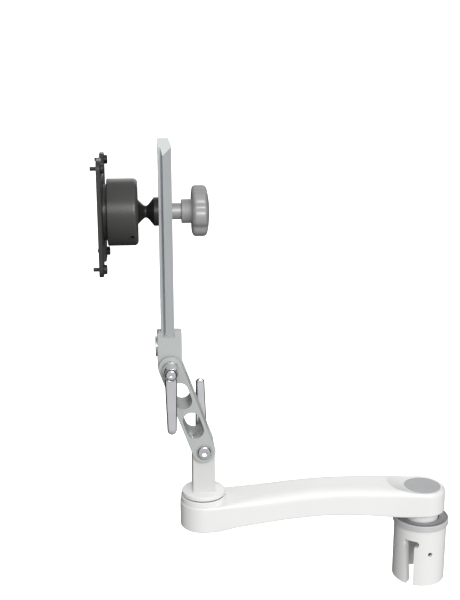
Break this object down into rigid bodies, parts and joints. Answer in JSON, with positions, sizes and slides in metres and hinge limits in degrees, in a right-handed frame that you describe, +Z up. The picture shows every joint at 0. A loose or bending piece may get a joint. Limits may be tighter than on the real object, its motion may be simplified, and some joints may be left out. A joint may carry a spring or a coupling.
{
  "type": "monitor arm",
  "caption": "Post-mounted monitor arm with a swing arm, tilting link, slide rail with a clamp knob, ball head and display mounting plate.",
  "frame": {"origin": "centre of the post socket's open mouth, on the socket's axis", "axes": "+Z up along the socket's axis, -X along the swing arm towards the display, so the mounting plate faces -X; +Y completes the right hand"},
  "size_m": [0.397, 0.116, 0.5126],
  "materials": {
    "white_paint": "gloss",
    "grey_paint": "satin",
    "anodised": "satin",
    "chrome": "polished",
    "steel": "satin",
    "black_steel": "satin",
    "dark_housing": "satin",
    "black_plate": "satin",
    "satin_silver": "satin",
    "grey_cap": "matte",
    "grey_ring": "satin",
    "nylon": "matte",
    "black_nylon": "matte",
    "brass": "satin"
  },
  "bodies": {
    "socket": {"socket_body": "white_paint", "socket_set_screws": "steel", "index_ring": "grey_ring", "base_spindle": "steel", "base_thrust_washer": "nylon", "spindle_disc_springs": "steel", "spindle_nut": "steel"},
    "arm": {"arm_body": "white_paint", "end_cap": "grey_cap", "base_bushes": "nylon", "post_bushes": "nylon"},
    "post": {"post_body": "white_paint", "post_thrust_washer": "black_nylon", "collar": "white_paint", "post_washer": "steel", "post_screw": "steel"},
    "link": {"link_body": "grey_paint", "lower_pivot_bolt": "chrome", "upper_pivot_bolt": "chrome", "lower_friction_washers": "nylon", "upper_friction_washers": "nylon"},
    "front_lever_nut": {"front_lever_insert": "steel", "front_lever_screw": "chrome", "front_lever_spring": "steel"},
    "front_lever": {"front_lever_handle": "chrome"},
    "rear_lever_nut": {"rear_lever_insert": "steel", "rear_lever_screw": "chrome", "rear_lever_spring": "steel"},
    "rear_lever": {"rear_lever_handle": "chrome"},
    "bracket": {"bracket_body": "grey_paint", "rail": "anodised", "rail_clamp_screw": "steel"},
    "carriage": {"ball_stud": "black_steel", "slide_key": "nylon"},
    "sleeve": {"clamp_sleeve": "satin_silver"},
    "knob": {"knob_body": "satin_silver", "knob_insert": "brass", "knob_cap": "satin_silver"},
    "ball_tilt_seat": {"rear_ball_seat": "nylon"},
    "ball_pan_seat": {"front_ball_seat": "nylon"},
    "head": {"housing_body": "dark_housing", "friction_set_screws": "black_steel", "ball_cover": "dark_housing", "vesa_plate": "black_plate", "housing_screws": "black_steel", "display_screws": "black_steel"}
  },
  "joints": [
    {"name": "arm_swivel", "type": "hinge", "parent": "socket", "child": "arm", "pos_m": [0, 0, 0.09], "axis": [0, 0, 1], "range_deg": [-120, 120]},
    {"name": "post_swivel", "type": "hinge", "parent": "arm", "child": "post", "pos_m": [-0.254, 0, 0.1], "axis": [0, 0, 1], "range_deg": [-175, 175]},
    {"name": "link_tilt", "type": "hinge", "parent": "post", "child": "link", "pos_m": [-0.254, 0, 0.1733], "axis": [0, 1, 0], "range_deg": [-30, 65]},
    {"name": "bracket_tilt", "type": "hinge", "parent": "link", "child": "bracket", "pos_m": [-0.28947, 0, 0.27075], "axis": [0, 1, 0], "range_deg": [-60, 20]},
    {"name": "head_slide", "type": "slide", "parent": "bracket", "child": "carriage", "axis": [0, 0, 1], "range_m": [-0.07, 0.045]},
    {"name": "knob_turn", "type": "hinge", "parent": "sleeve", "child": "knob", "pos_m": [-0.26, 0, 0.4373], "axis": [1, 0, 0], "range_deg": [0, 721]},
    {"name": "sleeve_travel", "type": "slide", "parent": "carriage", "child": "sleeve", "axis": [1, 0, 0], "range_m": [0, 0.0025]},
    {"name": "ball_tilt", "type": "hinge", "parent": "carriage", "child": "ball_tilt_seat", "pos_m": [-0.3312, 0, 0.4373], "axis": [0, 1, 0], "range_deg": [-20, 20]},
    {"name": "ball_pan", "type": "hinge", "parent": "ball_tilt_seat", "child": "ball_pan_seat", "pos_m": [-0.3312, 0, 0.4373], "axis": [0, 0, 1], "range_deg": [-20, 20]},
    {"name": "ball_roll", "type": "hinge", "parent": "ball_pan_seat", "child": "head", "pos_m": [-0.3312, 0, 0.4373], "axis": [1, 0, 0], "range_deg": [-90, 90]},
    {"name": "front_lever_turn", "type": "hinge", "parent": "link", "child": "front_lever_nut", "pos_m": [-0.28947, 0, 0.27075], "axis": [0, -1, 0], "range_deg": [0, 60]},
    {"name": "front_lever_lift", "type": "slide", "parent": "front_lever_nut", "child": "front_lever", "axis": [0, -1, 0], "range_m": [0, 0.0025], "stiffness_N_per_m": 900, "springref_m": -0.002, "deforming": ["front_lever_spring"]},
    {"name": "rear_lever_turn", "type": "hinge", "parent": "link", "child": "rear_lever_nut", "pos_m": [-0.254, 0, 0.1733], "axis": [0, 1, 0], "range_deg": [0, 60]},
    {"name": "rear_lever_lift", "type": "slide", "parent": "rear_lever_nut", "child": "rear_lever", "axis": [0, 1, 0], "range_m": [0, 0.0025], "stiffness_N_per_m": 900, "springref_m": -0.002, "deforming": ["rear_lever_spring"]}
  ],
  "couplings": [
    {"joint": "knob_turn", "follows": "sleeve_travel", "rad_per_m": 5026.5}
  ]
}
